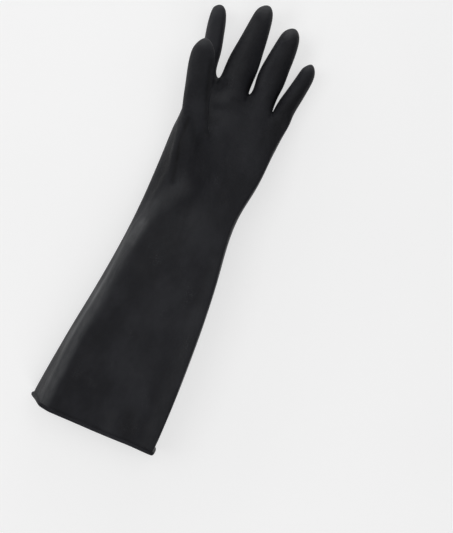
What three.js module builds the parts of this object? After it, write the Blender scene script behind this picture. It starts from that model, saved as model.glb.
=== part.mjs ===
// A long dipped glove for the left hand, lying palm up and empty.
// Millimetres: +X to the little finger's side, +Y to the fingertips, +Z up, the floor at z = 0.
// A cage of four-sided faces runs through the sections in the tables below; a smooth surface is fitted through
// the cage, creased by the fold table, and closed by an inner wall and the bead rolled round the hem.
import * as THREE from "three";

// ---------------------------------------------------------------- named sizes
const WALL = 1.2; // thickness of the film
const MITRE = 0.6; // where faces meet sharply the inner face steps in further, up to WALL / MITRE
const HEM_Y = -171.5; // where the wall ends and the bead begins, at mid width
const HEM_CORNER = 2.7; // how far the hem steps back at the thumb side's edge
const HEM_SLOPE = 1.2; // and how much it slants over each 60 mm of width
const HEM_REACH = 26; // length over which the slant fades out
const BEAD = { radius: 1.9, out: -0.1, down: 1.7, from: -55, to: 215, steps: 6 };
const WEB_OUT = 4; // how far the palm's first section stands beyond the thumb's web
const EDGE = { start: 26, width: 16, most: 1.15 }; // round edge on the little finger's side
const FOOT = [0.55, 0.25, 0.08]; // how far the flat's first three columns rise to the ridge beside them
const FLAT = { z: 0.22, nz: -0.8 }; // what lies this low and faces down rests on the floor
const FIT_ROUNDS = 6; // rounds of fitting the smooth surface through the sections

// ---------------------------------------------------------------- tables
const table = (columns, rows) => {
  const names = columns.split(" ");
  return rows.map((row) => Object.fromEntries(names.map((n, i) => [n, row[i]])));
};

// Sections of the gauntlet, the wrist and the palm up to the thumb's web.
// xl zl: thumb-side edge. xr zr: little-finger edge. zt: upper face. hol: its hollow. drop: its fall across.
// fall: of its right edge. cl cz lr lh a0 a1: centre, half sizes and arc of the ridge that grows into the thumb's
// root. gap: from the ridge to the flat. vf val: place and depth (below zero, rise) of the side beneath it.
// zb: underside.
const BODY = table("y xl zl xr zr zt hol drop fall cl cz lr lh a0 a1 gap vf val zb", [
  [HEM_Y, -116.9, 13, 1.2, 20, 42, 0.0, 0, 0.3, -92, 30.4, 17.5, 12.6, 142, 92, 10, 0.5, 0.0, 1.95],
  [-160, -116.3, 13, 1.7, 21, 43.5, 0.3, 0, 0.3, -92, 31.4, 17.5, 12.6, 142, 92, 10, 0.5, 0.0, 0.9],
  [-130, -112.4, 14, 2.3, 22, 45, 0.6, 0, 0.3, -89.8, 32.4, 17.5, 12.8, 142, 92, 10, 0.5, 0.3, 0.0],
  [-95, -106.9, 15, 1.8, 22, 45.5, 0.8, 0, 0.3, -86.8, 32.8, 17, 12.9, 142, 90, 10, 0.5, 0.3, 0.0],
  [-60, -100.9, 16, 0.6, 22, 45.5, 1.0, 0, 0.3, -80.8, 33.2, 16.5, 13.1, 143, 90, 10, 0.5, 0.2, 0.0],
  [-25, -96.3, 17, -1.6, 22, 44.5, 1.0, 0, 0.3, -76.8, 32.0, 16.5, 13.2, 150, 88, 10, 0.5, 0.0, 0.0],
  [5, -92.4, 18, -4.7, 21, 42.5, 0.8, 0, 0.4, -68.5, 31.2, 18.7, 13.4, 160, 86, 10, 0.4, -3.0, 0.0],
  [30, -91.0, 18, -6.6, 20, 40.5, 0.8, 0, 0.5, -65.5, 30.4, 19.5, 14.0, 165, 82, 10, 0.4, -4.0, 0.0],
  [50, -90.2, 18, -5.4, 19, 38.5, 1.2, 0, 1.2, -62.5, 31.2, 21, 13.8, 165, 78, 10, 0.4, -4.0, 0.0],
  [68, -90.2, 18, -1.9, 18, 36.5, 1.6, 0.2, 1.4, -67.5, 32.4, 15.5, 11.6, 168, 60, 11, 0.4, -3.5, 0.0],
  [84, -90.1, 17, -0.2, 17, 34.5, 2.0, 0.6, 1.7, -69.5, 33.3, 15, 12.3, 168, 44, 12, 0.4, -3.0, 0.0],
  [98, -89.6, 17, 0.7, 17, 32.8, 2.2, 1.0, 2.0, -71.5, 34.4, 14.5, 12.8, 170, 50, 9, 0.4, -2.5, 0.0],
]);
const BODY_STATIONS = [HEM_Y, -163, -138, -100, -55, -15, 14, 38, 58, 78, 98];

// Sections of the palm beyond the thumb's web.
const PALM = table("y xl zl xr zr zt hol drop fall zb", [
  [106, -89.2, 16, 1.3, 16, 31.8, 2.4, 1.4, 2.4, 0.0],
  [118, -89.2, 15.5, 2.4, 15, 30, 2.0, 2.2, 2.6, 0.0],
  [130, -89.4, 15, 3.5, 13.5, 28, 1.2, 3.2, 2.9, 0.3],
  [141, -90.0, 14.5, 4.8, 12.5, 26, 0.4, 4.2, 3.1, 1.2],
]);
// how far each section has changed over to the knuckles' columns
const PALM_STATIONS = table("y share", [[110, 0.3], [125, 0.65], [140, 1]]);

// The nine columns across the knuckles, thumb side first: place, how far each stands back, and its dip at a web.
const KNUCKLES = table("x back dip", [
  [-86.0, 1.0, 0.0],
  [-78.5, 1.5, 0.0],
  [-70.0, 0.5, 2.2],
  [-54.0, 2.5, 0.0],
  [-38.8, 1.5, 2.6],
  [-26.0, 3.0, 0.0],
  [-13.6, 5.0, 2.4],
  [-5.6, 4.5, 0.0],
  [0.8, 4.0, 0.0],
]);

// The webs between the fingers, the two points of the thumb's web, and where its root ends in the palm.
const WEBS = table("x y z", [[-69.8, 153.4, 14.0], [-39.0, 149.2, 13.2], [-13.6, 143.0, 11.8]]);
const THUMB_WEB = table("x y z", [[-83.6, 105.5, 30.5], [-72.0, 107.0, 32.6]]);
const THUMB_FOOT = [-58.0, 101.5, 37.0];

// Sections of the five tubes: middle, width across, height, and roll in degrees; then the tip.
const FINGERS = {
  index: {
    tip: [-91.4, 213.0, 18.2],
    rows: table("x y z w h roll", [
      [-82.2, 158, 14.5, 17.4, 24.0, -12],
      [-83.6, 172, 16.0, 17.0, 23.0, -16],
      [-86.3, 186, 17.4, 16.4, 21.0, -20],
      [-88.8, 198, 18.2, 15.6, 18.0, -22],
      [-90.9, 207.9, 18.4, 12.0, 13.4, -24],
    ]),
  },
  middle: {
    tip: [-51.2, 227.4, 22.2],
    rows: table("x y z w h roll", [
      [-54.0, 157.0, 14.0, 28.4, 23.0, 0],
      [-53.6, 172.0, 16.0, 28.0, 21.5, 0],
      [-53.0, 188.0, 18.6, 24.4, 19.5, 0],
      [-52.5, 203.0, 20.8, 21.0, 17.5, 0],
      [-52.3, 218.3, 22.2, 16.2, 13.6, 0],
    ]),
  },
  ring: {
    tip: [-22.2, 217.4, 20.0],
    rows: table("x y z w h roll", [
      [-25.4, 154.0, 13.5, 22.6, 21.0, 0],
      [-25.4, 167.0, 15.4, 24.6, 20.2, 0],
      [-24.9, 181.0, 17.4, 23.2, 18.8, 0],
      [-23.8, 195.0, 19.0, 20.8, 17.0, 0],
      [-23.2, 208.7, 20.0, 16.3, 13.1, 0],
    ]),
  },
  little: {
    tip: [3.2, 194.4, 16.3],
    rows: table("x y z w h roll", [
      [-3.8, 149.0, 12.2, 17.6, 18.0, 0],
      [-1.7, 160.0, 13.4, 16.6, 17.0, 0],
      [0.6, 171.0, 14.6, 15.6, 15.8, 0],
      [2.2, 180.5, 15.6, 14.6, 14.2, 0],
      [2.8, 188.2, 16.2, 11.8, 11.2, 0],
    ]),
  },
  thumb: {
    tip: [-89.4, 175.8, 51.6],
    rows: table("x y z w h roll", [
      [-75.0, 112.5, 42.6, 23.6, 20.0, 0],
      [-78.4, 125.0, 45.0, 22.4, 19.8, 0],
      [-81.7, 138.5, 47.6, 22.2, 19.4, 0],
      [-84.9, 152.0, 49.8, 22.4, 18.6, 0],
      [-87.6, 164.6, 51.2, 19.0, 15.6, 0],
    ]),
  },
};
// the angle of each column round its tube, in degrees from +X
const AROUND = {
  index: [128, 90, 52, 0, -52, -90, -126, -154, 180, 154],
  middle: [135, 90, 45, 0, -45, -90, -135, 180],
  ring: [135, 90, 45, 0, -45, -90, -135, 180],
  little: [128, 90, 54, 27, 0, -27, -54, -90, -128, 180],
  thumb: [210, 166, 121, 75, 28, -20, -68, -110],
};

// Main dents (below zero) and folds (above), each along a line.
const FOLDS = table("x1 y1 z1 x2 y2 z2 wide deep", [
  [-82, 2, 38, -58, 52, 43, 10.0, 1.6],
  [-60, 127, 29, -36, 132, 28, 5.0, -0.8],
  [-66, 141, 27, -48, 146, 26, 4.0, -0.7],
  [-47, 112, 31, -50, 148, 29, 13.0, 1.8],
  [-71, 116, 30, -69, 142, 28, 6.0, -1.2],
  [-17, -178, 42, -17, -150, 43, 9.0, -1.0],
  [-22, -154, 43, -25, -90, 44, 9.0, -0.5],
  [-8, -165, 41, -8, -20, 41, 9.0, 0.9],
  [-52, -160, 43, -44, -60, 45, 13.0, 0.9],
  [-72, -140, 44, -64, -70, 45, 10.0, -0.5],
  [-10, 30, 38, -24, 60, 37, 7.0, -0.9],
]);

// ---------------------------------------------------------------- sections
const lerp = (a, b, t) => a + (b - a) * t;
const clamp = (v, lo, hi) => Math.min(hi, Math.max(lo, v));
const rad = (deg) => (deg * Math.PI) / 180;

// A row of a section table at any y, by a cubic that never overshoots its rows.
function at(rows, y) {
  const n = rows.length;
  if (y <= rows[0].y) return { ...rows[0], y };
  if (y >= rows[n - 1].y) return { ...rows[n - 1], y };
  let i = 0;
  while (rows[i + 1].y <= y) i++;
  const h = rows[i + 1].y - rows[i].y;
  const t = (y - rows[i].y) / h;
  const rise = (c, k) => (rows[k + 1][c] - rows[k][c]) / (rows[k + 1].y - rows[k].y);
  const slope = (c, k) => {
    if (k === 0) return rise(c, 0);
    if (k === n - 1) return rise(c, n - 2);
    const a = rise(c, k - 1), b = rise(c, k);
    return a * b <= 0 ? 0 : (2 * a * b) / (a + b);
  };
  const out = {};
  for (const c of Object.keys(rows[0])) {
    const m0 = slope(c, i) * h, m1 = slope(c, i + 1) * h;
    const t2 = t * t, t3 = t2 * t;
    out[c] = (2 * t3 - 3 * t2 + 1) * rows[i][c] + (t3 - 2 * t2 + t) * m0 + (3 * t2 - 2 * t3) * rows[i + 1][c] + (t3 - t2) * m1;
  }
  out.y = y;
  return out;
}

// Height of the upper face at x: a shallow hollow, a fall to the little finger's side and a round edge.
function top(r, x) {
  const u = (x - r.xl) / (r.xr - r.xl);
  const edge = clamp((x - (r.xr - EDGE.start)) / EDGE.width, 0, EDGE.most);
  return r.zt - r.hol * Math.sin(Math.PI * clamp((u - 0.1) / 0.8, 0, 1)) - r.drop * u * u - r.fall * edge * edge;
}

// 26 points round the gauntlet: seven over the top, three down the little finger's side, nine under, three up the
// thumb's side, and four over the ridge.
function bodyRing(r) {
  const ridge = [0, 1, 2, 3].map((k) => {
    const a = rad(lerp(r.a0, r.a1, k / 3));
    return [r.cl + r.lr * Math.cos(a), r.cz + r.lh * Math.sin(a)];
  });
  const foot = ridge[3];
  const over = [], under = [];
  for (let k = 0; k < 7; k++) {
    const x = lerp(foot[0] + r.gap, r.xr - 3.5, k / 6);
    over.push([x, lerp(top(r, x), foot[1], FOOT[k] ?? 0)]);
  }
  const right = [
    [r.xr - 0.4, lerp(r.zr, over[6][1], 0.8)],
    [r.xr, r.zr],
    [r.xr - 1.4, lerp(r.zb, r.zr, 0.42)],
  ];
  for (let k = 8; k >= 0; k--) under.push([lerp(r.xl + 8, r.xr - 7, k / 8), r.zb + (k % 8 === 0 ? 1.6 : 0)]);
  const left = [
    [r.xl + 1.5, r.zb + (r.zl - r.zb) * 0.42],
    [r.xl, r.zl],
    [lerp(r.xl, ridge[0][0], r.vf) + r.val * 0.3, lerp(r.zl, ridge[0][1], r.vf) - r.val * 0.6],
  ];
  const w = clamp((HEM_Y + HEM_REACH - r.y) / HEM_REACH, 0, 1);
  const hem = (x) => w * (HEM_CORNER * Math.exp(-(((x - r.xl) / 12) ** 2)) - (HEM_SLOPE * (x + 55)) / 60);
  return [...over, ...right, ...under, ...left, ...ridge].map(([x, z]) => [x, r.y + hem(x), z]);
}

// 24 points round the palm: nine over the top, three down the side, nine under, three up the thumb's side.
function palmRing(r, s) {
  const over = [], under = [];
  const shift = s ** 1.5;
  KNUCKLES.forEach((c, k) => {
    const y = r.y - c.back * s;
    const dip = c.dip * s ** 4;
    const x = lerp(lerp(r.xl + 6, r.xr - 5.5, k / 8), c.x, shift);
    over.push([x, y + (k < 2 ? WEB_OUT * (1 - s) : 0), top(r, x) - dip - (k === 0 ? 2.5 : 0)]);
    under.push([lerp(lerp(r.xl + 8, r.xr - 8.5, k / 8), c.x, shift), y, r.zb + (k % 8 === 0 ? 1.6 : 0) + dip * 0.8]);
  });
  const y = r.y - 3 * s;
  return [
    ...over,
    [r.xr - 0.8, y, lerp(r.zr, over[8][2], 0.72)],
    [r.xr, y, r.zr],
    [r.xr - 1.3, y, lerp(r.zb, r.zr, 0.42)],
    ...under.reverse(),
    [r.xl + 1.2, r.y, r.zb + (r.zl - r.zb) * 0.42],
    [r.xl, r.y, r.zl],
    [r.xl + 1.6, r.y, lerp(r.zl, over[0][2], 0.6)],
  ];
}

// The rings of a finger: ellipses square to the line through their middles.
function tubeRings({ rows, tip }, angles) {
  const middles = [...rows.map((r) => new THREE.Vector3(r.x, r.y, r.z)), new THREE.Vector3(...tip)];
  return rows.map((r, i) => {
    const back = i > 0 ? middles[i - 1] : middles[0].clone().multiplyScalar(2).sub(middles[1]);
    const along = middles[i + 1].clone().sub(back).normalize();
    const up = new THREE.Vector3(0, 0, 1).addScaledVector(along, -along.z).normalize();
    const side = new THREE.Vector3().crossVectors(along, up);
    const c = Math.cos(rad(r.roll)), s = Math.sin(rad(r.roll));
    const e1 = side.clone().multiplyScalar(c).addScaledVector(up, s);
    const e2 = side.clone().multiplyScalar(-s).addScaledVector(up, c);
    return angles.map((deg) =>
      middles[i].clone()
        .addScaledVector(e1, (r.w / 2) * Math.cos(rad(deg)))
        .addScaledVector(e2, (r.h / 2) * Math.sin(rad(deg)))
        .toArray(),
    );
  });
}

// ---------------------------------------------------------------- the cage
function buildCage() {
  const points = [], faces = [];
  const add = (ring) => ring.map((p) => points.push(p) - 1);
  const strip = (a, b) => a.forEach((_, i) => faces.push([a[i], a[(i + 1) % a.length], b[(i + 1) % a.length], b[i]]));
  const tube = (name, base) => {
    let from = base;
    for (const ring of tubeRings(FINGERS[name], AROUND[name])) {
      const ids = add(ring);
      strip(from, ids);
      from = ids;
    }
    const [tip] = add([FINGERS[name].tip]);
    for (let i = 0; i < from.length; i += 2) faces.push([from[i], from[i + 1], from[(i + 2) % from.length], tip]);
  };
  let ring = null;
  for (const y of BODY_STATIONS) {
    const ids = add(bodyRing(at(BODY, y)));
    if (ring) strip(ring, ids);
    ring = ids;
  }
  points[ring[0]] = THUMB_FOOT;
  const web = add(THUMB_WEB.map((p) => [p.x, p.y, p.z]));
  tube("thumb", [ring[21], ...ring.slice(22), ring[0], web[1], web[0]]);
  ring = [...web, ...ring.slice(0, 22)];
  for (const { y, share } of PALM_STATIONS) {
    const ids = add(palmRing(at(PALM, y), share));
    strip(ring, ids);
    ring = ids;
  }
  const crotch = add(WEBS.map((p) => [p.x, p.y, p.z]));
  const T = ring.slice(0, 9), R = ring.slice(9, 12), B = ring.slice(12, 21).reverse(), L = ring.slice(21);
  tube("index", [T[0], T[1], T[2], crotch[0], B[2], B[1], B[0], ...L]);
  tube("middle", [T[2], T[3], T[4], crotch[1], B[4], B[3], B[2], crotch[0]]);
  tube("ring", [T[4], T[5], T[6], crotch[2], B[6], B[5], B[4], crotch[1]]);
  tube("little", [T[6], T[7], T[8], ...R, B[8], B[7], B[6], crotch[2]]);
  return { points, faces };
}

// ---------------------------------------------------------------- the smooth surface
const zero = (n) => Array.from({ length: n }, () => [0, 0, 0]);
const addTo = (a, b, k = 1) => { a[0] += b[0] * k; a[1] += b[1] * k; a[2] += b[2] * k; };
const sum = (list) => list.reduce((s, p) => (addTo(s, p), s), [0, 0, 0]);
const scaled = (p, k) => [p[0] * k, p[1] * k, p[2] * k];

// Edges with the faces beside them, and the number of each face's edges.
function edgesOf(faces) {
  const edges = [], found = new Map();
  const ofFace = faces.map((f, fi) =>
    f.map((a, k) => {
      const b = f[(k + 1) % 4];
      const key = a < b ? a + ":" + b : b + ":" + a;
      if (!found.has(key)) found.set(key, edges.push({ a: Math.min(a, b), b: Math.max(a, b), faces: [] }) - 1);
      const e = found.get(key);
      edges[e].faces.push(fi);
      return e;
    }),
  );
  return { edges, ofFace };
}

// One round of Catmull-Clark subdivision; the hem keeps its own smooth curve.
function subdivide(points, faces) {
  const { edges, ofFace } = edgesOf(faces);
  const middles = faces.map((f) => scaled(sum(f.map((i) => points[i])), 1 / 4));
  const edgePoints = edges.map((e) => {
    const ends = [points[e.a], points[e.b]];
    return e.faces.length === 2 ? scaled(sum([...ends, ...e.faces.map((f) => middles[f])]), 1 / 4) : scaled(sum(ends), 1 / 2);
  });
  const n = points.length;
  const valence = new Array(n).fill(0), count = new Array(n).fill(0), hem = new Array(n).fill(false);
  const faceSum = zero(n), edgeSum = zero(n), hemSum = zero(n);
  faces.forEach((f, fi) => f.forEach((i) => { addTo(faceSum[i], middles[fi]); count[i]++; }));
  for (const e of edges) {
    for (const [i, j] of [[e.a, e.b], [e.b, e.a]]) {
      valence[i]++;
      addTo(edgeSum[i], points[i], 0.5);
      addTo(edgeSum[i], points[j], 0.5);
      if (e.faces.length === 1) { hem[i] = true; addTo(hemSum[i], points[j]); }
    }
  }
  const kept = points.map((p, i) => {
    if (hem[i]) return scaled(sum([scaled(p, 6), hemSum[i]]), 1 / 8);
    const v = valence[i];
    return scaled(sum([scaled(faceSum[i], 1 / count[i]), scaled(edgeSum[i], 2 / v), scaled(p, v - 3)]), 1 / v);
  });
  const next = [];
  faces.forEach((f, fi) => f.forEach((i, k) =>
    next.push([i, n + ofFace[fi][k], n + edges.length + fi, n + ofFace[fi][(k + 3) % 4]])));
  return { points: [...kept, ...edgePoints, ...middles], faces: next };
}

// Where each point ends up when the subdivision goes on for ever.
function limit(points, faces) {
  const { edges } = edgesOf(faces);
  const n = points.length;
  const valence = new Array(n).fill(0), hem = new Array(n).fill(false);
  const near = zero(n), across = zero(n), hemSum = zero(n);
  for (const e of edges)
    for (const [i, j] of [[e.a, e.b], [e.b, e.a]]) {
      valence[i]++;
      addTo(near[i], points[j]);
      if (e.faces.length === 1) { hem[i] = true; addTo(hemSum[i], points[j]); }
    }
  for (const f of faces) f.forEach((i, k) => addTo(across[i], points[f[(k + 2) % 4]]));
  return points.map((p, i) => {
    if (hem[i]) return scaled(sum([scaled(p, 4), hemSum[i]]), 1 / 6);
    const v = valence[i];
    return scaled(sum([scaled(p, v * v), scaled(near[i], 4), across[i]]), 1 / (v * (v + 5)));
  });
}

// Moves the cage so that the smooth surface passes through the sections themselves.
function fit({ points, faces }) {
  let moved = points;
  for (let k = 0; k < FIT_ROUNDS; k++) {
    const reached = limit(moved, faces);
    moved = moved.map((p, i) => p.map((v, c) => v + points[i][c] - reached[i][c]));
  }
  return { points: moved, faces };
}

// Unit normals, and how closely the faces round each point agree with its normal.
function normalsOf(points, faces) {
  const n = zero(points.length), count = new Array(points.length).fill(0);
  for (const f of faces) {
    const [a, b, c, d] = f.map((i) => points[i]);
    const u = [c[0] - a[0], c[1] - a[1], c[2] - a[2]], v = [d[0] - b[0], d[1] - b[1], d[2] - b[2]];
    const w = [u[1] * v[2] - u[2] * v[1], u[2] * v[0] - u[0] * v[2], u[0] * v[1] - u[1] * v[0]];
    f.forEach((i) => { addTo(n[i], w, 1 / Math.hypot(...w)); count[i]++; });
  }
  return { normals: n.map((v) => scaled(v, 1 / Math.hypot(...v))), agree: n.map((v, i) => Math.hypot(...v) / count[i]) };
}

// Adds the folds and dents along the normals, and lays the lowest part flat on the floor.
function crease(points, faces) {
  const { normals } = normalsOf(points, faces);
  return points.map((p, i) => {
    let d = 0;
    for (const r of FOLDS) {
      const ab = [r.x2 - r.x1, r.y2 - r.y1, r.z2 - r.z1], ap = [p[0] - r.x1, p[1] - r.y1, p[2] - r.z1];
      const dot = (a, b) => a[0] * b[0] + a[1] * b[1] + a[2] * b[2];
      const t = clamp(dot(ap, ab) / dot(ab, ab), 0, 1);
      const q = ap.map((v, c) => v - ab[c] * t);
      d += r.deep * Math.exp(-dot(q, q) / (2 * r.wide * r.wide));
    }
    d *= clamp((normals[i][2] + 0.1) / 0.5, 0, 1);
    const out = p.map((v, c) => v + normals[i][c] * d);
    if (normals[i][2] < FLAT.nz && out[2] < FLAT.z) out[2] = 0;
    out[2] = Math.max(out[2], 0);
    return out;
  });
}

// The open edge as one loop, in the order in which the faces run.
function hemLoop(faces) {
  const step = new Map();
  for (const f of faces) f.forEach((a, k) => step.set(a + ":" + f[(k + 1) % 4], [a, f[(k + 1) % 4]]));
  const next = new Map();
  for (const [a, b] of step.values()) if (!step.has(b + ":" + a)) next.set(a, b);
  const start = Math.min(...next.keys()), loop = [start];
  while (next.get(loop.at(-1)) !== start) loop.push(next.get(loop.at(-1)));
  return loop;
}

// ---------------------------------------------------------------- the film: outer face, inner face and bead
function gloveShell() {
  const cage = fit(buildCage());
  const fine = subdivide(cage.points, cage.faces);
  const outer = crease(limit(fine.points, fine.faces), fine.faces);
  const { normals, agree } = normalsOf(outer, fine.faces);
  const count = outer.length;
  const points = [...outer, ...outer.map((p, i) => p.map((v, c) => v - (normals[i][c] * WALL) / Math.max(MITRE, agree[i])))];
  const triangles = [];
  const quad = (a, b, c, d) => triangles.push([a, b, c], [a, c, d]);
  for (const [a, b, c, d] of fine.faces) {
    quad(a, b, c, d);
    quad(a + count, d + count, c + count, b + count);
  }
  const loop = hemLoop(fine.faces);
  const rings = [];
  for (let k = 0; k < BEAD.steps; k++) {
    const t = rad(lerp(BEAD.from, BEAD.to, k / (BEAD.steps - 1)));
    const off = BEAD.out + BEAD.radius * Math.cos(t), down = BEAD.down + BEAD.radius * Math.sin(t);
    rings.push(loop.map((i) => {
      const flat = Math.hypot(normals[i][0], normals[i][2]);
      return points.push([outer[i][0] + (normals[i][0] / flat) * off, outer[i][1] - down, outer[i][2] + (normals[i][2] / flat) * off]) - 1;
    }));
  }
  const around = [loop.map((i) => i + count), ...rings.reverse(), loop];
  for (let r = 0; r + 1 < around.length; r++) {
    const a = around[r], b = around[r + 1];
    a.forEach((_, i) => quad(a[i], a[(i + 1) % a.length], b[(i + 1) % a.length], b[i]));
  }

  const geometry = new THREE.BufferGeometry();
  geometry.setAttribute("position", new THREE.Float32BufferAttribute(points.flat(), 3));
  geometry.setIndex(triangles.flat());
  geometry.computeBoundingBox();
  const { min, max } = geometry.boundingBox;
  geometry.translate(-(min.x + max.x) / 2, -(min.y + max.y) / 2, -min.z);
  geometry.computeVertexNormals();
  return geometry;
}

const latex = new THREE.MeshStandardMaterial({ color: 0x1c1d1f, roughness: 0.55, metalness: 0 });
const glove = new THREE.Group();
glove.name = "latex_glove";
const shell = new THREE.Mesh(gloveShell(), latex);
shell.name = "glove_shell";
glove.add(shell);

export default glove;
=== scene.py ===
"""A long dipped glove for the left hand, lying palm up and empty, in black latex.

The film is one skin: a cage of four-sided faces through the sections in the tables, a smooth surface fitted through
it, the folds of the fold tables on it, an inner wall, and the bead rolled round the hem. The tables are in
millimetres: +X to the little finger's side, +Y to the fingertips, +Z up, the floor at z = 0.
"""
import math

import bpy
import numpy as np
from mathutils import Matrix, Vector, noise


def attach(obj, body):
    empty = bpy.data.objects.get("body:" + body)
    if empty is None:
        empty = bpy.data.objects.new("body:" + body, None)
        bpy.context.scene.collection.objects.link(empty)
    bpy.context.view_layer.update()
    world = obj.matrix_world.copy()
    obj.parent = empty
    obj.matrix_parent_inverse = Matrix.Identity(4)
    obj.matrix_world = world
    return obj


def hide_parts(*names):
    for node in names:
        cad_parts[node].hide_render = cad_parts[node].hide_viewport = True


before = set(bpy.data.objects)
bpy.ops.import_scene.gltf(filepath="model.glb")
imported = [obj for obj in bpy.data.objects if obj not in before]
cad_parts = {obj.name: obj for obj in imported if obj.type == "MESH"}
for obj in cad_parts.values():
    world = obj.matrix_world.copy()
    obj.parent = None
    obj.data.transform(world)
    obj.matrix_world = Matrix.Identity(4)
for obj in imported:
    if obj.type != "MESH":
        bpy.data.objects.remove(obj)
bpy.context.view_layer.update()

# ---------------------------------------------------------------- named sizes, mm
WALL = 1.2                      # thickness of the film
MITRE = 0.6                     # in sharp creases the inner face steps in up to WALL / MITRE
HEM_Y, HEM_CORNER, HEM_SLOPE, HEM_REACH = -171.5, 2.7, 1.2, 26.0
WEB_OUT = 4.0
BEAD_RADIUS, BEAD_OUT, BEAD_DOWN = 1.9, -0.1, 1.7
BEAD_FROM, BEAD_TO, BEAD_STEPS = -55.0, 215.0, 16
EDGE_START, EDGE_WIDTH, EDGE_MOST = 26.0, 16.0, 1.15
FOOT = (0.55, 0.25, 0.08)  # how far the flat's first three columns rise to the ridge beside them
FIT_ROUNDS = 6
FRAME_LEVEL = 1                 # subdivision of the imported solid, which sets where the row frame lies
SKIN_LEVEL = 3                  # subdivision of the visible skin

# the picture: straight down from this height, turned this much, with the scale held at the glove's mid height
CAMERA_HEIGHT, CAMERA_TURN = 1100.0, 22.0
SCALE_HEIGHT, MM_PER_PIXEL = 22.0, 0.8816
PIXELS_HIGH = 533


def table(columns, rows):
    names = columns.split()
    return [dict(zip(names, map(float, row))) for row in rows]


# ---------------------------------------------------------------- tables
# Sections of the gauntlet, the wrist and the palm up to the thumb's web.
# xl zl: thumb-side edge. xr zr: little-finger edge. zt: upper face. hol: its hollow. drop: its fall across.
# fall: of its right edge. cl cz lr lh a0 a1: centre, half sizes and arc of the ridge that grows into the thumb's
# root. gap: from the ridge to the flat. vf val: place and depth (below zero, rise) of the side beneath it.
# zb: underside.
BODY = table("y xl zl xr zr zt hol drop fall cl cz lr lh a0 a1 gap vf val zb", [
    (HEM_Y, -116.9, 13, 1.2, 20, 42, 0.0, 0, 0.3, -92, 30.4, 17.5, 12.6, 142, 92, 10, 0.5, 0.0, 1.95),
    (-160, -116.3, 13, 1.7, 21, 43.5, 0.3, 0, 0.3, -92, 31.4, 17.5, 12.6, 142, 92, 10, 0.5, 0.0, 0.9),
    (-130, -112.4, 14, 2.3, 22, 45, 0.6, 0, 0.3, -89.8, 32.4, 17.5, 12.8, 142, 92, 10, 0.5, 0.3, 0.0),
    (-95, -106.9, 15, 1.8, 22, 45.5, 0.8, 0, 0.3, -86.8, 32.8, 17, 12.9, 142, 90, 10, 0.5, 0.3, 0.0),
    (-60, -100.9, 16, 0.6, 22, 45.5, 1.0, 0, 0.3, -80.8, 33.2, 16.5, 13.1, 143, 90, 10, 0.5, 0.2, 0.0),
    (-25, -96.3, 17, -1.6, 22, 44.5, 1.0, 0, 0.3, -76.8, 32.0, 16.5, 13.2, 150, 88, 10, 0.5, 0.0, 0.0),
    (5, -92.4, 18, -4.7, 21, 42.5, 0.8, 0, 0.4, -68.5, 31.2, 18.7, 13.4, 160, 86, 10, 0.4, -3.0, 0.0),
    (30, -91.0, 18, -6.6, 20, 40.5, 0.8, 0, 0.5, -65.5, 30.4, 19.5, 14.0, 165, 82, 10, 0.4, -4.0, 0.0),
    (50, -90.2, 18, -5.4, 19, 38.5, 1.2, 0, 1.2, -62.5, 31.2, 21, 13.8, 165, 78, 10, 0.4, -4.0, 0.0),
    (68, -90.2, 18, -1.9, 18, 36.5, 1.6, 0.2, 1.4, -67.5, 32.4, 15.5, 11.6, 168, 60, 11, 0.4, -3.5, 0.0),
    (84, -90.1, 17, -0.2, 17, 34.5, 2.0, 0.6, 1.7, -69.5, 33.3, 15, 12.3, 168, 44, 12, 0.4, -3.0, 0.0),
    (98, -89.6, 17, 0.7, 17, 32.8, 2.2, 1.0, 2.0, -71.5, 34.4, 14.5, 12.8, 170, 50, 9, 0.4, -2.5, 0.0),
])
BODY_STATIONS = [HEM_Y, -163, -138, -100, -55, -15, 14, 38, 58, 78, 98]

# Sections of the palm beyond the thumb's web.
PALM = table("y xl zl xr zr zt hol drop fall zb", [
    (106, -89.2, 16, 1.3, 16, 31.8, 2.4, 1.4, 2.4, 0.0),
    (118, -89.2, 15.5, 2.4, 15, 30, 2.0, 2.2, 2.6, 0.0),
    (130, -89.4, 15, 3.5, 13.5, 28, 1.2, 3.2, 2.9, 0.3),
    (141, -90.0, 14.5, 4.8, 12.5, 26, 0.4, 4.2, 3.1, 1.2),
])
PALM_STATIONS = table("y share", [(110, 0.3), (125, 0.65), (140, 1)])

# The nine columns across the knuckles, thumb side first: place, how far each stands back, and its dip at a web.
KNUCKLES = table("x back dip", [
    (-86.0, 1.0, 0.0),
    (-78.5, 1.5, 0.0),
    (-70.0, 0.5, 2.2),
    (-54.0, 2.5, 0.0),
    (-38.8, 1.5, 2.6),
    (-26.0, 3.0, 0.0),
    (-13.6, 5.0, 2.4),
    (-5.6, 4.5, 0.0),
    (0.8, 4.0, 0.0),
])

# The webs between the fingers, the two points of the thumb's web, and where its root ends in the palm.
WEBS = table("x y z", [(-69.8, 153.4, 14.0), (-39.0, 149.2, 13.2), (-13.6, 143.0, 11.8)])
THUMB_WEB = table("x y z", [(-83.6, 105.5, 30.5), (-72.0, 107.0, 32.6)])
THUMB_FOOT = (-58.0, 101.5, 37.0)

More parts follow.
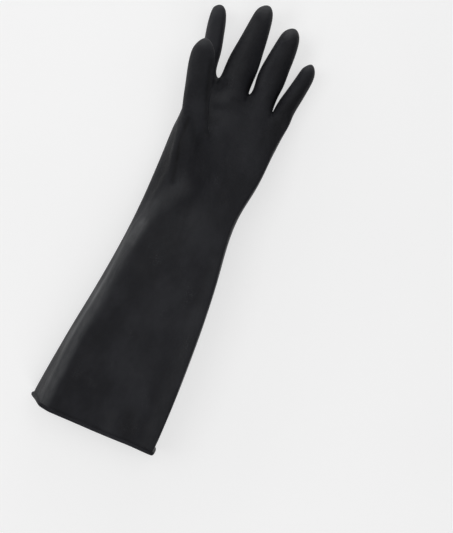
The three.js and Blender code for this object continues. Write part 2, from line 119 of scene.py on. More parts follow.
# Sections of the five tubes: middle, width across, height, and roll in degrees. TIPS closes each.
FINGERS = {
    "index": table("x y z w h roll", [
        (-82.2, 158, 14.5, 17.4, 24.0, -12),
        (-83.6, 172, 16.0, 17.0, 23.0, -16),
        (-86.3, 186, 17.4, 16.4, 21.0, -20),
        (-88.8, 198, 18.2, 15.6, 18.0, -22),
        (-90.9, 207.9, 18.4, 12.0, 13.4, -24),
    ]),
    "middle": table("x y z w h roll", [
        (-54.0, 157.0, 14.0, 28.4, 23.0, 0),
        (-53.6, 172.0, 16.0, 28.0, 21.5, 0),
        (-53.0, 188.0, 18.6, 24.4, 19.5, 0),
        (-52.5, 203.0, 20.8, 21.0, 17.5, 0),
        (-52.3, 218.3, 22.2, 16.2, 13.6, 0),
    ]),
    "ring": table("x y z w h roll", [
        (-25.4, 154.0, 13.5, 22.6, 21.0, 0),
        (-25.4, 167.0, 15.4, 24.6, 20.2, 0),
        (-24.9, 181.0, 17.4, 23.2, 18.8, 0),
        (-23.8, 195.0, 19.0, 20.8, 17.0, 0),
        (-23.2, 208.7, 20.0, 16.3, 13.1, 0),
    ]),
    "little": table("x y z w h roll", [
        (-3.8, 149.0, 12.2, 17.6, 18.0, 0),
        (-1.7, 160.0, 13.4, 16.6, 17.0, 0),
        (0.6, 171.0, 14.6, 15.6, 15.8, 0),
        (2.2, 180.5, 15.6, 14.6, 14.2, 0),
        (2.8, 188.2, 16.2, 11.8, 11.2, 0),
    ]),
    "thumb": table("x y z w h roll", [
        (-75.0, 112.5, 42.6, 23.6, 20.0, 0),
        (-78.4, 125.0, 45.0, 22.4, 19.8, 0),
        (-81.7, 138.5, 47.6, 22.2, 19.4, 0),
        (-84.9, 152.0, 49.8, 22.4, 18.6, 0),
        (-87.6, 164.6, 51.2, 19.0, 15.6, 0),
    ]),
}
TIPS = {
    "index": (-91.4, 213.0, 18.2),
    "middle": (-51.2, 227.4, 22.2),
    "ring": (-22.2, 217.4, 20.0),
    "little": (3.2, 194.4, 16.3),
    "thumb": (-89.4, 175.8, 51.6),
}
# the angle of each column round its tube, in degrees from +X
AROUND = {
    "index": [128, 90, 52, 0, -52, -90, -126, -154, 180, 154],
    "middle": [135, 90, 45, 0, -45, -90, -135, 180],
    "ring": [135, 90, 45, 0, -45, -90, -135, 180],
    "little": [128, 90, 54, 27, 0, -27, -54, -90, -128, 180],
    "thumb": [210, 166, 121, 75, 28, -20, -68, -110],
}

# Main dents (below zero) and folds (above), each along a line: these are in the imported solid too.
FOLDS = table("x1 y1 z1 x2 y2 z2 wide deep", [
    (-82, 2, 38, -58, 52, 43, 10.0, 1.6),
    (-60, 127, 29, -36, 132, 28, 5.0, -0.8),
    (-66, 141, 27, -48, 146, 26, 4.0, -0.7),
    (-47, 112, 31, -50, 148, 29, 13.0, 1.8),
    (-71, 116, 30, -69, 142, 28, 6.0, -1.2),
    (-17, -178, 42, -17, -150, 43, 9.0, -1.0),
    (-22, -154, 43, -25, -90, 44, 9.0, -0.5),
    (-8, -165, 41, -8, -20, 41, 9.0, 0.9),
    (-52, -160, 43, -44, -60, 45, 13.0, 0.9),
    (-72, -140, 44, -64, -70, 45, 10.0, -0.5),
    (-10, 30, 38, -24, 60, 37, 7.0, -0.9),
])

# Small creases and swellings of the visible skin only.
CREASES = table("x1 y1 z1 x2 y2 z2 wide deep", [
    (-70, 50, 43, -75, 70, 42, 1.5, -0.75),
    (-75, 70, 42, -79, 86, 43, 1.4, -0.95),
    (-79, 86, 43, -79.5, 104, 47, 1.4, -0.80),
    (-74, 52, 42, -79, 72, 40, 2.0, 0.45),
    (-79, 72, 40, -82.5, 100, 38, 2.0, 0.45),
    (-70, 96, 48, -66, 88, 45, 2.4, -0.30),
    (-64, 92, 45, -60, 86, 43, 2.2, -0.25),
    (-79, 7, 40, -86, -10, 41, 1.6, 0.55),
    (-76.5, 6, 42, -82, -10, 43, 1.8, -0.45),
    (-84, 12, 36, -90, -2, 36, 1.5, 0.30),
    (-70, 22, 43, -74, 6, 43, 2.2, -0.25),
    (-62, 127, 30, -51, 130.5, 31, 2.2, -0.40),
    (-50, 137.5, 30, -38, 140.5, 29, 1.8, -0.28),
    (-66, 132, 29, -54, 140.5, 29, 2.6, 0.32),
    (-56, 124, 31, -40, 128, 31, 2.4, 0.22),
    (-45, 131, 30, -27, 136.5, 29, 1.6, 0.18),
    (-45, 107, 32, -32, 110.5, 32, 1.8, 0.16),
    (-66, 143, 27, -61, 149, 25, 2.6, -0.30),
    (-34, 76, 36, -30, 108, 32, 1.8, 0.16),
    (-27, 74, 36, -23, 106, 31, 1.7, -0.16),
    (-20, 78, 35, -17, 104, 31, 1.8, 0.16),
    (-12, 96, 31, -4, 124, 27, 2.6, -0.25),
])
# Painted highlights (above zero) along the gauntlet's shoulder, over the wrist, on lit flanks, web crests and
# fingertips, and painted shade (below zero) in creases, webs, beside the thumb and on flanks turned from the light,
# with a few real scuffs on the gauntlet: colour only.
PAINTED_LIGHT_SHADE_SCUFFS = table("x1 y1 z1 x2 y2 z2 wide deep", [
    # painted highlight: the lit band along the gauntlet's left shoulder and over the wrist
    (-102.5, -179, 40, -101.5, -150, 41, 3.9, 0.66),
    (-101.5, -150, 41, -97.0, -95, 42, 3.9, 0.64),
    (-97.0, -95, 42, -92.0, -60, 43, 3.8, 0.66),
    (-92.0, -60, 43, -88.0, -25, 43, 3.6, 0.60),
    (-88.0, -25, 43, -85.5, -10, 42, 3.6, 0.62),
    (-85.5, -10, 42, -81.5, 8, 41, 3.6, 0.85),
    (-81.5, 8, 41, -77.0, 28, 42, 4.5, 0.34),
    (-77.0, 28, 42, -62.0, 48, 43, 6.0, 0.22),
    # painted highlight on lit slopes of the palm and gauntlet, on lit finger flanks, fingertips and web crests
    (-62.0, 120, 30, -60.0, 146, 28, 6.5, 0.20),
    (-54.0, 114, 31, -42.0, 122, 30, 6.0, 0.12),
    (-66.0, -25, 43, -62.0, -2, 43, 9.0, 0.06),
    (-62.0, -2, 43, -48.0, 22, 43, 12.0, 0.10),
    (-6.0, -80, 40, -9.0, 0, 39, 5.0, 0.08),
    (-41.5, 172, 19, -41.0, 206, 20, 2.4, 0.08),
    (-53.0, 222, 25, -50.0, 225, 24, 4.8, 0.40),
    (-24.5, 211, 24, -21.5, 214, 23, 4.8, 0.46),
    (1.5, 189, 20, 3.5, 191, 19, 3.6, 0.34),
    (-93.0, 207, 24, -90.5, 210, 22, 4.0, 0.26),
    (-91.0, 171, 57, -88.5, 174, 55, 4.5, 0.22),
    (-42.0, -178, 43, -42.0, -155, 43, 4.0, 0.07),
    (-6.0, -170, 40, -6.0, -80, 40, 6.0, 0.10),
    (-72.5, 151, 18, -65.5, 152.5, 18, 1.6, 0.45),
    (-41.5, 146.5, 18, -36.5, 147, 18, 1.4, 0.30),
    (-17.0, 140.5, 16, -11.0, 141, 16, 1.4, 0.25),
    (-60.0, 152, 24, -58.5, 168, 24, 4.5, 0.14),
    (-58.5, 168, 24, -56.5, 207, 24, 2.8, 0.12),
    (-32.0, 160, 20, -29.5, 206, 21, 2.5, 0.12),
    (-7.0, 148, 14, -4.0, 180, 16, 2.2, 0.10),
    (-91.5, 138, 50, -94.0, 168, 53, 3.5, 0.09),
    # real scuffs on the gauntlet
    (-77.0, -134, 44, -67.0, -137, 44, 1.3, 0.10),
    (-74.0, -130, 44, -71.0, -140, 44, 1.0, 0.07),
    (-42.0, -114, 45, -31.0, -117, 45, 1.3, 0.08),
    # painted shade: in creases, the shadow beside the thumb, the webs, flanks turned from the light and beside the
    # gauntlet's folds
    (-70.5, 51, 43, -74.0, 69, 43, 1.5, -0.55),
    (-74.0, 69, 43, -77.8, 85, 44, 1.5, -0.72),
    (-77.8, 85, 44, -78.0, 106, 46, 1.6, -0.66),
    (-74.0, 66, 43, -75.0, 104, 46, 4.0, -0.22),
    (-87.2, 105, 42, -85.6, 90, 38, 2.8, -0.40),
    (-85.6, 90, 38, -82.6, 64, 38, 2.8, -0.46),
    (-82.6, 64, 38, -82.2, 50, 38, 2.8, -0.40),
    (-82.2, 50, 38, -83.6, 32, 38, 2.8, -0.26),
    (-70.0, 96, 46, -61.0, 87, 45, 3.6, -0.32),
    (-77.5, 158, 55, -73.0, 138, 53, 1.6, -0.60),
    (-73.0, 138, 53, -69.5, 126, 51, 1.6, -0.60),
    (-69.5, 126, 51, -64.0, 112, 47, 1.6, -0.45),
    (-36.0, 84, 34, -30.0, 114, 31, 12.0, -0.16),
    (-61.0, 127, 30, -51.0, 130.5, 30, 2.4, -0.32),
    (-50.0, 138, 29, -43.0, 139.5, 28, 1.4, -0.28),
    (-66.0, 143, 27, -62.0, 148, 25, 4.0, -0.24),
    (-66.0, 131, 29, -55.0, 140, 28, 3.0, 0.07),
    (-37.0, 141, 27, -29.0, 146, 25, 3.5, -0.16),
    (-17.0, 152, 20, -16.0, 206, 20, 5.0, -0.45),
    (-15.6, 144, 14, -15.0, 160, 17, 2.0, -0.90),
    (-40.6, 149, 15, -40.4, 161, 17, 1.9, -0.90),
    (-6.0, 118, 24, 0.0, 148, 18, 6.5, -0.42),
    (0.0, 148, 18, 6.5, 182, 18, 4.5, -0.45),
    (-92.0, -175, 43, -84.0, -100, 43, 7.0, -0.20),
    (-26.0, -179, 42, -28.0, -152, 43, 5.0, -0.38),
])

# Waviness of the skin: wavelengths along X, Y and Z, and height, each a layer of smooth noise.
WAVES = table("across along up high seed", [
    (34, 70, 34, 0.42, 3.1),
    (15, 34, 15, 0.16, 17.7),
    (7, 15, 7, 0.05, 41.3),
])


# ---------------------------------------------------------------- sections
def lerp(a, b, t):
    return a + (b - a) * t


def clamp(v, lo, hi):
    return min(hi, max(lo, v))


def at(rows, y):
    """A row of a section table at any y, by a cubic that never overshoots its rows."""
    n = len(rows)
    if y <= rows[0]["y"]:
        return dict(rows[0], y=y)
    if y >= rows[-1]["y"]:
        return dict(rows[-1], y=y)
    i = max(k for k in range(n - 1) if rows[k]["y"] <= y)
    h = rows[i + 1]["y"] - rows[i]["y"]
    t = (y - rows[i]["y"]) / h

    def rise(c, k):
        return (rows[k + 1][c] - rows[k][c]) / (rows[k + 1]["y"] - rows[k]["y"])

    def slope(c, k):
        if k == 0:
            return rise(c, 0)
        if k == n - 1:
            return rise(c, n - 2)
        a, b = rise(c, k - 1), rise(c, k)
        return 0.0 if a * b <= 0 else 2 * a * b / (a + b)

    out = {}
    for c in rows[0]:
        m0, m1 = slope(c, i) * h, slope(c, i + 1) * h
        p0, p1 = rows[i][c], rows[i + 1][c]
        out[c] = ((2 * t**3 - 3 * t**2 + 1) * p0 + (t**3 - 2 * t**2 + t) * m0
                  + (3 * t**2 - 2 * t**3) * p1 + (t**3 - t**2) * m1)
    out["y"] = y
    return out


def top(r, x):
    """Height of the upper face at x: a shallow hollow, a fall to the little finger's side and a round edge."""
    u = (x - r["xl"]) / (r["xr"] - r["xl"])
    edge = clamp((x - (r["xr"] - EDGE_START)) / EDGE_WIDTH, 0.0, EDGE_MOST)
    return (r["zt"] - r["hol"] * math.sin(math.pi * clamp((u - 0.1) / 0.8, 0, 1))
            - r["drop"] * u * u - r["fall"] * edge * edge)


def body_ring(r):
    """26 points round the gauntlet: over the top, down the little finger's side, under, up the thumb's side, ridge."""
    ridge = []
    for k in range(4):
        a = math.radians(lerp(r["a0"], r["a1"], k / 3))
        ridge.append((r["cl"] + r["lr"] * math.cos(a), r["cz"] + r["lh"] * math.sin(a)))
    over = []
    for k in range(7):
        x = lerp(ridge[3][0] + r["gap"], r["xr"] - 3.5, k / 6)
        over.append((x, lerp(top(r, x), ridge[3][1], FOOT[k] if k < 3 else 0)))
    right = [
        (r["xr"] - 0.4, lerp(r["zr"], over[6][1], 0.8)),
        (r["xr"], r["zr"]),
        (r["xr"] - 1.4, lerp(r["zb"], r["zr"], 0.42)),
    ]
    under = [(lerp(r["xl"] + 8, r["xr"] - 7, k / 8), r["zb"] + (1.6 if k % 8 == 0 else 0)) for k in range(8, -1, -1)]
    left = [
        (r["xl"] + 1.5, r["zb"] + (r["zl"] - r["zb"]) * 0.42),
        (r["xl"], r["zl"]),
        (lerp(r["xl"], ridge[0][0], r["vf"]) + r["val"] * 0.3, lerp(r["zl"], ridge[0][1], r["vf"]) - r["val"] * 0.6),
    ]
    w = clamp((HEM_Y + HEM_REACH - r["y"]) / HEM_REACH, 0.0, 1.0)

    def hem(x):
        return w * (HEM_CORNER * math.exp(-(((x - r["xl"]) / 12) ** 2)) - HEM_SLOPE * (x + 55) / 60)

    return [(x, r["y"] + hem(x), z) for x, z in over + right + under + left + ridge]


def palm_ring(r, s):
    """24 points round the palm: nine over the top, three down the side, nine under, three up the thumb's side."""
    over, under = [], []
    for k, c in enumerate(KNUCKLES):
        y = r["y"] - c["back"] * s
        dip = c["dip"] * s**4
        x = lerp(lerp(r["xl"] + 6, r["xr"] - 5.5, k / 8), c["x"], s**1.5)
        over.append((x, y + (WEB_OUT * (1 - s) if k < 2 else 0), top(r, x) - dip - (2.5 if k == 0 else 0)))
        x = lerp(lerp(r["xl"] + 8, r["xr"] - 8.5, k / 8), c["x"], s**1.5)
        under.append((x, y, r["zb"] + (1.6 if k % 8 == 0 else 0) + dip * 0.8))
    y = r["y"] - 3 * s
    right = [
        (r["xr"] - 0.8, y, lerp(r["zr"], over[8][2], 0.72)),
        (r["xr"], y, r["zr"]),
        (r["xr"] - 1.3, y, lerp(r["zb"], r["zr"], 0.42)),
    ]
    left = [
        (r["xl"] + 1.2, r["y"], r["zb"] + (r["zl"] - r["zb"]) * 0.42),
        (r["xl"], r["y"], r["zl"]),
        (r["xl"] + 1.6, r["y"], lerp(r["zl"], over[0][2], 0.6)),
    ]
    return over + right + under[::-1] + left


def tube_rings(rows, tip, angles):
    """The rings of a finger: ellipses square to the line through their middles."""
    middles = np.array([[r["x"], r["y"], r["z"]] for r in rows] + [list(tip)])
    rings = []
    for i, r in enumerate(rows):
        back = middles[i - 1] if i > 0 else 2 * middles[0] - middles[1]
        along = middles[i + 1] - back
        along = along / np.linalg.norm(along)
        up = np.array([0, 0, 1.0]) - along * along[2]
        up /= np.linalg.norm(up)
        side = np.cross(along, up)
        c, s = math.cos(math.radians(r["roll"])), math.sin(math.radians(r["roll"]))
        e1, e2 = side * c + up * s, up * c - side * s
        rings.append([tuple(middles[i] + e1 * (r["w"] / 2 * math.cos(math.radians(a)))
                            + e2 * (r["h"] / 2 * math.sin(math.radians(a)))) for a in angles])
    return rings


# ---------------------------------------------------------------- the cage
def build_cage():
    points, faces = [], []

    def add(ring):
        points.extend(tuple(p) for p in ring)
        return list(range(len(points) - len(ring), len(points)))

    def strip(a, b):
        for i in range(len(a)):
            j = (i + 1) % len(a)
            faces.append((a[i], a[j], b[j], b[i]))

    def tube(name, base):
        for ring in tube_rings(FINGERS[name], TIPS[name], AROUND[name]):
            ids = add(ring)
            strip(base, ids)
            base = ids
        tip, = add([TIPS[name]])
        for i in range(0, len(base), 2):
            faces.append((base[i], base[i + 1], base[(i + 2) % len(base)], tip))

    ring = None
    for y in BODY_STATIONS:
        ids = add(body_ring(at(BODY, y)))
        if ring:
            strip(ring, ids)
        ring = ids
    points[ring[0]] = THUMB_FOOT
    web = add([(p["x"], p["y"], p["z"]) for p in THUMB_WEB])
    tube("thumb", [ring[21]] + ring[22:] + [ring[0], web[1], web[0]])
    ring = web + ring[:22]
    for row in PALM_STATIONS:
        ids = add(palm_ring(at(PALM, row["y"]), row["share"]))
        strip(ring, ids)
        ring = ids
    w = add([(p["x"], p["y"], p["z"]) for p in WEBS])
    t, right, b, left = ring[0:9], ring[9:12], ring[12:21][::-1], ring[21:]
    tube("index", [t[0], t[1], t[2], w[0], b[2], b[1], b[0]] + left)
    tube("middle", [t[2], t[3], t[4], w[1], b[4], b[3], b[2], w[0]])
    tube("ring", [t[4], t[5], t[6], w[2], b[6], b[5], b[4], w[1]])
    tube("little", [t[6], t[7], t[8]] + right + [b[8], b[7], b[6], w[2]])
    return np.array(points, float), np.array(faces, int)


# ---------------------------------------------------------------- the smooth surface
def edges_of(F):
    pairs = np.sort(np.stack([F, np.roll(F, -1, 1)], -1).reshape(-1, 2), 1)
    E, of_face, count = np.unique(pairs, axis=0, return_inverse=True, return_counts=True)
    return E, of_face.reshape(F.shape), count


def gather(n, at_, what):
    out = np.zeros((n, 3))
    np.add.at(out, at_, what)
    return out


def subdivide(V, F):
    """One round of Catmull-Clark subdivision; the hem keeps its own smooth curve."""
    n = len(V)
    E, of_face, count = edges_of(F)
    inner = count == 2
    middles = V[F].mean(1)
    beside = gather(len(E), of_face.ravel(), np.repeat(middles, 4, 0))
    halves = V[E].mean(1)
    edge_points = halves.copy()
    edge_points[inner] = (V[E[inner]].sum(1) + beside[inner]) / 4
    valence = np.bincount(E.ravel(), minlength=n)[:, None].astype(float)
    faces_at = np.bincount(F.ravel(), minlength=n)[:, None]
    face_sum = gather(n, F.ravel(), np.repeat(middles, 4, 0))
    edge_sum = gather(n, E[:, 0], halves) + gather(n, E[:, 1], halves)
    kept = (face_sum / faces_at + 2 * edge_sum / valence + (valence - 3) * V) / valence
    B = E[~inner]
    hem_sum = gather(n, B[:, 0], V[B[:, 1]]) + gather(n, B[:, 1], V[B[:, 0]])
    hem = np.unique(B)
    kept[hem] = (6 * V[hem] + hem_sum[hem]) / 8
    fi = n + len(E) + np.arange(len(F))
    quads = [np.stack([F[:, k], n + of_face[:, k], fi, n + of_face[:, (k - 1) % 4]], 1) for k in range(4)]
    return np.concatenate([kept, edge_points, middles]), np.concatenate(quads)


def limit(V, F):
    """Where each point ends up when the subdivision goes on for ever."""
    n = len(V)
    E, _, count = edges_of(F)
    valence = np.bincount(E.ravel(), minlength=n)[:, None].astype(float)
    near = gather(n, E[:, 0], V[E[:, 1]]) + gather(n, E[:, 1], V[E[:, 0]])
    across = sum(gather(n, F[:, k], V[F[:, (k + 2) % 4]]) for k in range(4))
    out = (valence**2 * V + 4 * near + across) / (valence * (valence + 5))
    B = E[count == 1]
    hem_sum = gather(n, B[:, 0], V[B[:, 1]]) + gather(n, B[:, 1], V[B[:, 0]])
    hem = np.unique(B)
    out[hem] = (4 * V[hem] + hem_sum[hem]) / 6
    return out


def fit(V, F):
    """Moves the cage so that the smooth surface passes through the sections themselves."""
    moved = V.copy()
    for _ in range(FIT_ROUNDS):
        moved = moved + V - limit(moved, F)
    return moved


def normals_of(V, F):
    """Unit normals, and how closely the faces round each point agree with its normal."""
    n = np.cross(V[F[:, 2]] - V[F[:, 0]], V[F[:, 3]] - V[F[:, 1]])
    n /= np.maximum(np.linalg.norm(n, axis=1, keepdims=True), 1e-12)
    total = gather(len(V), F.ravel(), np.repeat(n, 4, 0))
    size = np.maximum(np.linalg.norm(total, axis=1), 1e-12)
    return total / size[:, None], size / np.bincount(F.ravel(), minlength=len(V))


def along_lines(V, rows):
    """The height of the folds of a table at each point."""
    d = np.zeros(len(V))
    for r in rows:
        a = np.array([r["x1"], r["y1"], r["z1"]])
        ab = np.array([r["x2"], r["y2"], r["z2"]]) - a
        t = np.clip((V - a) @ ab / ab.dot(ab), 0, 1)
        d += r["deep"] * np.exp(-((V - a - t[:, None] * ab) ** 2).sum(1) / (2 * r["wide"] ** 2))
    return d


def marks(V, rows, flat=1.0):
    """The strongest of a table's marks at each point, above and below zero; flat shrinks their distance along Z."""
    up, down = np.zeros(len(V)), np.zeros(len(V))
    for r in rows:
        one = along_lines(V * [1, 1, flat], [dict(r, z1=r["z1"] * flat, z2=r["z2"] * flat)])
        up, down = np.maximum(up, one), np.minimum(down, one)
    return up + down


def rest(V, N):
    """Lays the lowest part flat on the floor."""
    V = V.copy()
    V[(N[:, 2] < -0.8) & (V[:, 2] < 0.22), 2] = 0.0
    V[:, 2] = np.maximum(V[:, 2], 0)
    return V


def crease(V, F, fine):
    N, _ = normals_of(V, F)
    facing_up = np.clip((N[:, 2] + 0.1) / 0.5, 0, 1)
    out = V + N * (along_lines(V, FOLDS) * facing_up)[:, None]
    if fine:
        d = marks(V, CREASES)
        for r in WAVES:
            size = np.array([r["across"], r["along"], r["up"]])
            d += r["high"] * np.array([noise.noise(Vector(p / size) + Vector((r["seed"],) * 3)) for p in V])
        hem = np.clip((V[:, 1] - HEM_Y) / 12, 0, 1)
        off_floor = np.clip((V[:, 2] - 1.0) / 5.0, 0, 1)
        out = out + N * (d * hem * off_floor)[:, None]
    return rest(out, N)


def hem_loop(F):
    """The open edge as one loop, in the order in which the faces run."""
    steps = {(int(a), int(b)) for f in F for a, b in zip(f, np.roll(f, -1))}
    following = {a: b for a, b in steps if (b, a) not in steps}
    loop = [min(following)]
    while following[loop[-1]] != loop[0]:
        loop.append(following[loop[-1]])
    return loop


def film(level, bead_steps, fine):
    """Outer face, inner face and bead: points, faces, and how many faces of each."""
    V, F = build_cage()
    V = fit(V, F)
    for _ in range(level):
        V, F = subdivide(V, F)
    V = crease(limit(V, F), F, fine)
    N, agree = normals_of(V, F)
    n = len(V)
    points = [V, V - N * (WALL / np.maximum(MITRE, agree))[:, None]]
    faces = [F, F[:, ::-1] + n]
    loop = np.array(hem_loop(F))
    u = N[loop] * [1, 0, 1]
    u /= np.linalg.norm(u, axis=1, keepdims=True)
    rings = []
    for k in range(bead_steps):
        t = math.radians(lerp(BEAD_FROM, BEAD_TO, k / (bead_steps - 1)))
        off, down = BEAD_OUT + BEAD_RADIUS * math.cos(t), BEAD_DOWN + BEAD_RADIUS * math.sin(t)
        rings.append(2 * n + k * len(loop) + np.arange(len(loop)))
        points.append(V[loop] + u * off - [0, down, 0])
    around = [loop + n] + rings[::-1] + [loop]
    for a, b in zip(around, around[1:]):
        faces.append(np.stack([a, np.roll(a, -1), np.roll(b, -1), b], 1))
    return np.concatenate(points), np.concatenate(faces), len(F)


# ---------------------------------------------------------------- node helpers
class Nodes:
    """Short names for making a material's nodes."""

    def __init__(self, name):
        self.material = bpy.data.materials.new(name)
        self.material.use_nodes = True
        self.tree = self.material.node_tree
        self.shader = self.tree.nodes["Principled BSDF"]

    def add(self, kind, **values):
        node = self.tree.nodes.new(kind)
        for key, value in values.items():
            if hasattr(node, key):
                setattr(node, key, value)
            else:
                node.inputs[key.replace("_", " ").title()].default_value = value
        return node

    def link(self, a, b):
        self.tree.links.new(a, b)

    def place(self, scale):
        """Object coordinates in metres, times scale along each axis."""
        where = self.add("ShaderNodeTexCoord")
        mapping = self.add("ShaderNodeMapping")
        mapping.inputs["Scale"].default_value = scale
        self.link(where.outputs["Object"], mapping.inputs["Vector"])
        return mapping.outputs["Vector"]

    def past_wrist(self):
        """0 on the gauntlet, 1 on the hand, by the place along Y in metres."""
        split = self.add("ShaderNodeSeparateXYZ")
        self.link(self.place((1, 1, 1)), split.inputs["Vector"])
        return self.ramp(split.outputs["Y"], 0.005, 0.05)

    def noise(self, scale, detail=3.0, roughness=0.55, vector=None):
        node = self.add("ShaderNodeTexNoise")
        node.inputs["Scale"].default_value = 1.0
        node.inputs["Detail"].default_value = detail
        node.inputs["Roughness"].default_value = roughness
        self.link(vector or self.place(scale), node.inputs["Vector"])
        return node.outputs["Fac"]

    def ramp(self, value, low, high, out_low=0.0, out_high=1.0):
        node = self.add("ShaderNodeMapRange")
        node.interpolation_type = "SMOOTHSTEP"
        for key, number in (("From Min", low), ("From Max", high), ("To Min", out_low), ("To Max", out_high)):
            node.inputs[key].default_value = number
        self.link(value, node.inputs["Value"])
        return node.outputs["Result"]

    def math(self, operation, a, b):
        node = self.add("ShaderNodeMath")
        node.operation = operation
        for socket, value in zip(node.inputs, (a, b)):
            if isinstance(value, (int, float)):
                socket.default_value = value
            else:
                self.link(value, socket)
        return node.outputs["Value"]

    def mix(self, factor, a, b):
        node = self.add("ShaderNodeMix")
        node.data_type = "RGBA"
        self.link(factor, node.inputs["Factor"])
        for socket, value in ((node.inputs["A"], a), (node.inputs["B"], b)):
            if isinstance(value, tuple):
                socket.default_value = (*value, 1.0)
            else:
                self.link(value, socket)
        return node.outputs["Result"]

    def bump(self, height, distance, strength=1.0, normal=None):
        node = self.add("ShaderNodeBump")
        node.inputs["Strength"].default_value = strength
        node.inputs["Distance"].default_value = distance
        self.link(height, node.inputs["Height"])
        if normal is not None:
            self.link(normal, node.inputs["Normal"])
        return node.outputs["Normal"]


def latex(name, dark, light, bloom, pale, bloom_from, rough_low, rough_high):
    """Black latex: mottled colour, a thin powdery bloom in patches, painted highlights and painted shade (with a few
    scuffs) from a per-point attribute, uneven gloss, and a fine dipped grain.
    """
    m = Nodes(name)
    blotch = m.noise((26, 17, 26), detail=4.0)
    patch = m.noise((48, 30, 48), detail=5.0, roughness=0.62)
    speck = m.noise((900, 900, 900), detail=2.0)
    colour = m.mix(m.ramp(blotch, 0.34, 0.68), dark, light)
    powder = m.math("MULTIPLY", m.ramp(patch, bloom_from, bloom_from + 0.2), m.ramp(speck, 0.4, 0.75))
    colour = m.mix(m.math("MULTIPLY", powder, 0.6), colour, bloom)
    # painted highlight and painted shade from the per-point attribute, with a few real scuffs; noise varies their
    # strength
    highlight_shade_scuff = m.add("ShaderNodeAttribute")
    highlight_shade_scuff.attribute_name = "painted_light_and_scuffs"
    streak = m.noise((210, 70, 210), detail=5.0, roughness=0.65)
    highlight_shade_scuff = m.math("MULTIPLY", highlight_shade_scuff.outputs["Fac"], m.ramp(streak, 0.25, 0.75, 0.72, 1.28))
    # above zero: painted highlight, and a few scuffs, toward the pale colour
    colour = m.mix(m.math("MINIMUM", highlight_shade_scuff, 1.0), colour, pale)
    # below zero: painted shade, a deeper black
    colour = m.mix(m.math("MULTIPLY", highlight_shade_scuff, -1.0), colour, (0.0040, 0.0040, 0.0044))
    m.link(colour, m.shader.inputs["Base Color"])
    uneven = m.math("ADD", m.ramp(patch, 0.3, 0.72, 0.0, 0.7), m.ramp(speck, 0.3, 0.7, 0.0, 0.3))
    m.link(m.ramp(uneven, 0.0, 1.0, rough_low, rough_high), m.shader.inputs["Roughness"])
    m.shader.inputs["IOR"].default_value = 1.5
    m.shader.inputs["Specular IOR Level"].default_value = 0.14
    m.shader.inputs["Sheen Weight"].default_value = 0.0
    m.shader.inputs["Sheen Roughness"].default_value = 0.5
    grain = m.noise((620, 520, 620), detail=2.0)
    ripple = m.noise((105, 62, 105), detail=3.0)
    pucker = m.math("MULTIPLY", m.noise((170, 330, 170), detail=3.0, roughness=0.6), m.past_wrist())
    normal = m.bump(ripple, 0.0012, 0.55)
    normal = m.bump(pucker, 0.0008, 0.6, normal)
    normal = m.bump(grain, 0.00016, 0.5, normal)
    m.link(normal, m.shader.inputs["Normal"])
    return m.material


def paper(name):
    """The floor: a pale table, softly lit from within so that shadows on it stay light."""
    m = Nodes(name)
    tone = m.noise((6, 6, 6), detail=2.0)
    m.link(m.mix(m.ramp(tone, 0.3, 0.7), (0.50, 0.50, 0.50), (0.51, 0.51, 0.51)), m.shader.inputs["Base Color"])
    m.shader.inputs["Emission Color"].default_value = (1, 1, 1, 1)
    m.shader.inputs["Emission Strength"].default_value = 0.58
    m.shader.inputs["Roughness"].default_value = 0.85
    m.shader.inputs["Specular IOR Level"].default_value = 0.2
    return m.material


# ---------------------------------------------------------------- the glove
def build_glove():
    solid, _, _ = film(FRAME_LEVEL, 6, fine=False)
    lo, hi = solid.min(0), solid.max(0)
    shift = np.array([-(lo[0] + hi[0]) / 2, -(lo[1] + hi[1]) / 2, -lo[2]])
    points, faces, outer = film(SKIN_LEVEL, BEAD_STEPS, fine=True)
    points[:, 2] = np.maximum(points[:, 2], 0)
    mesh = bpy.data.meshes.new("glove_skin")
    mesh.from_pydata(((points + shift) / 1000).tolist(), [], faces.tolist())
    mesh.polygons.foreach_set("use_smooth", [True] * len(faces))
    # the fifth colour of each latex is the pale that painted highlights and scuffs mix toward
    mesh.materials.append(latex("latex_outside", (0.0146, 0.0149, 0.0180), (0.0276, 0.0282, 0.0328),
                                (0.052, 0.053, 0.057), (0.098, 0.100, 0.104), 0.54, 0.50, 0.64))
    mesh.materials.append(latex("latex_inside", (0.0120, 0.0122, 0.0142), (0.0215, 0.0220, 0.0252),
                                (0.055, 0.055, 0.057), (0.050, 0.051, 0.054), 0.46, 0.62, 0.76))
    slots = np.zeros(len(faces), dtype=np.int32)
    slots[outer:2 * outer] = 1
    mesh.polygons.foreach_set("material_index", slots)
    # painted highlight and painted shade, with a few scuffs, per point of the outer skin; none on the inner wall or
    # bead
    painted_light_and_scuffs = np.zeros(len(points), dtype=np.float32)
    skin_points = int(faces[:outer].max()) + 1
    painted_light_and_scuffs[:skin_points] = marks(points[:skin_points], PAINTED_LIGHT_SHADE_SCUFFS, 0.3)
    mesh.attributes.new("painted_light_and_scuffs", "FLOAT", "POINT").data.foreach_set("value", painted_light_and_scuffs)
    mesh.validate()
    mesh.update()
    skin = bpy.data.objects.new("glove_skin", mesh)
    bpy.context.collection.objects.link(skin)
    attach(skin, "root")
    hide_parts("glove_shell")
    return shift


# ---------------------------------------------------------------- camera, floor and lights
def mm(x, y, z):
    return Vector((x / 1000, y / 1000, z / 1000))


def picture_axes():
    turn = math.radians(CAMERA_TURN)
    return Vector((math.cos(turn), math.sin(turn), 0)), Vector((-math.sin(turn), math.cos(turn), 0))


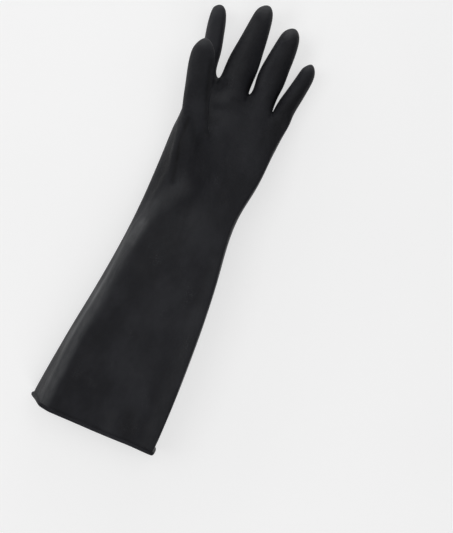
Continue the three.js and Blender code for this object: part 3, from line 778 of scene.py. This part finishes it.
def build_camera(shift):
    data = bpy.data.cameras.new("camera")
    data.sensor_fit = "VERTICAL"
    data.sensor_height = 24.0
    half = MM_PER_PIXEL * PIXELS_HIGH / 2
    data.lens = data.sensor_height / 2 / (half / (CAMERA_HEIGHT - SCALE_HEIGHT))
    data.clip_start, data.clip_end = 0.05, 20
    camera = bpy.data.objects.new("camera", data)
    camera.location = mm(shift[0], shift[1], CAMERA_HEIGHT)
    camera.rotation_euler = (0, 0, math.radians(CAMERA_TURN))
    bpy.context.collection.objects.link(camera)
    bpy.context.scene.camera = camera


def build_floor():
    size = 6.0
    mesh = bpy.data.meshes.new("floor")
    mesh.from_pydata([(-size, -size, -0.0002), (size, -size, -0.0002), (size, size, -0.0002), (-size, size, -0.0002)],
                     [], [(0, 1, 2, 3)])
    mesh.materials.append(paper("floor_card"))
    floor = bpy.data.objects.new("floor", mesh)
    bpy.context.collection.objects.link(floor)


def area_light(name, direction, height, distance, size, watts, aim=(0, 0, 0.02), colour=(1, 1, 1)):
    """A soft light that stands in a direction of the picture, aimed at the glove."""
    data = bpy.data.lights.new(name, "AREA")
    data.shape = "RECTANGLE"
    data.size, data.size_y = size
    data.energy = watts
    data.color = colour
    light = bpy.data.objects.new(name, data)
    light.location = direction.normalized() * distance + Vector((0, 0, height))
    light.rotation_euler = (Vector(aim) - light.location).to_track_quat("-Z", "Y").to_euler()
    bpy.context.collection.objects.link(light)


# name, share to the picture's right, share to its top, height, distance, width, depth, watts
LIGHTS = [
    ("key_left", -0.8, 0.3, 1.9, 1.0, 1.2, 1.2, 7.8),
    ("side_left", -1.0, 0.0, 0.8, 1.1, 0.9, 0.9, 0.6),
    ("rim_left", -0.75, 0.66, 0.28, 1.15, 0.9, 0.7, 2.8),
    ("rim_far", 0.1, 1.0, 0.28, 1.15, 0.9, 0.7, 4.2),
    ("fill_near", 0.0, -1.0, 0.8, 1.1, 0.9, 0.9, 4.6),
    ("fill_over", 0.5, 0.3, 1.9, 0.6, 1.4, 1.4, 8.6),
    ("side_right", 1.0, 0.0, 0.8, 1.1, 0.9, 0.9, 0.5),
]


def build_lights():
    right, up = picture_axes()
    for name, r, u, height, distance, width, depth, watts in LIGHTS:
        area_light(name, right * r + up * u, height, distance, (width, depth), watts)
    world = bpy.data.worlds.new("studio")
    world.use_nodes = True
    world.node_tree.nodes["Background"].inputs["Color"].default_value = (0.9, 0.93, 1.0, 1)
    world.node_tree.nodes["Background"].inputs["Strength"].default_value = 0.02
    bpy.context.scene.world = world
    settings = bpy.context.scene.view_settings
    settings.view_transform = "Standard"
    settings.look = "None"
    settings.exposure = 0.0


shift_mm = build_glove()
build_floor()
build_camera(shift_mm)
build_lights()
